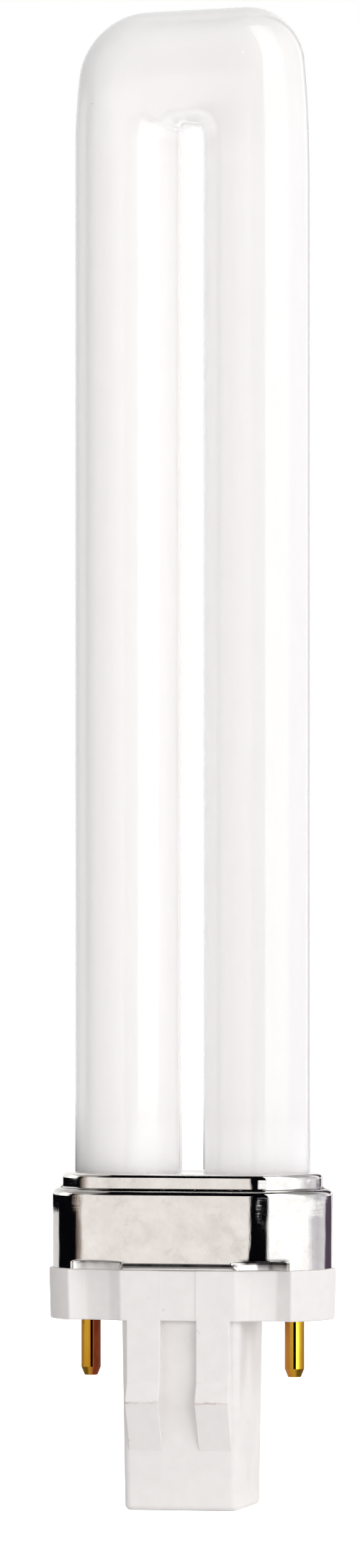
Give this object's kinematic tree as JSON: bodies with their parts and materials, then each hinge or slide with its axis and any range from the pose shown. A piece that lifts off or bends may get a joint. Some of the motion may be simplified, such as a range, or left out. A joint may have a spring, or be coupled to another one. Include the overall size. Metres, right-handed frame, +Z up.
{
  "type": "compact fluorescent bulb",
  "caption": "Compact fluorescent bulb: a white U-bent glass tube in a drawn metal cap, on a moulded base with contact pins and a square starter stub that snaps into a holder.",
  "frame": {"origin": "midway between the contact pins, on the underside of the flange that seats on the lamp holder", "axes": "+Z runs up the lamp to the bend of the tube, +X runs along the line of the pins, and -Y is the front"},
  "size_m": [0.032, 0.0178, 0.1657],
  "materials": {
    "coated_glass": "clear glass over a white coat",
    "cap_metal": "bright drawn sheet",
    "base_plastic": "satin moulding",
    "pin_brass": "bright",
    "cement": "matt",
    "starter_glass": "clear",
    "capacitor_body": "dipped",
    "wire": "drawn"
  },
  "bodies": {
    "root": {"discharge_tube": "coated_glass", "metal_cap": "cap_metal", "cement": "cement", "base_housing": "base_plastic", "pin_left": "pin_brass", "pin_right": "pin_brass", "starter": "starter_glass", "capacitor": "capacitor_body", "pin_wire_left": "wire", "pin_wire_right": "wire", "starter_wire_left": "wire", "starter_wire_right": "wire"}
  },
  "joints": []
}
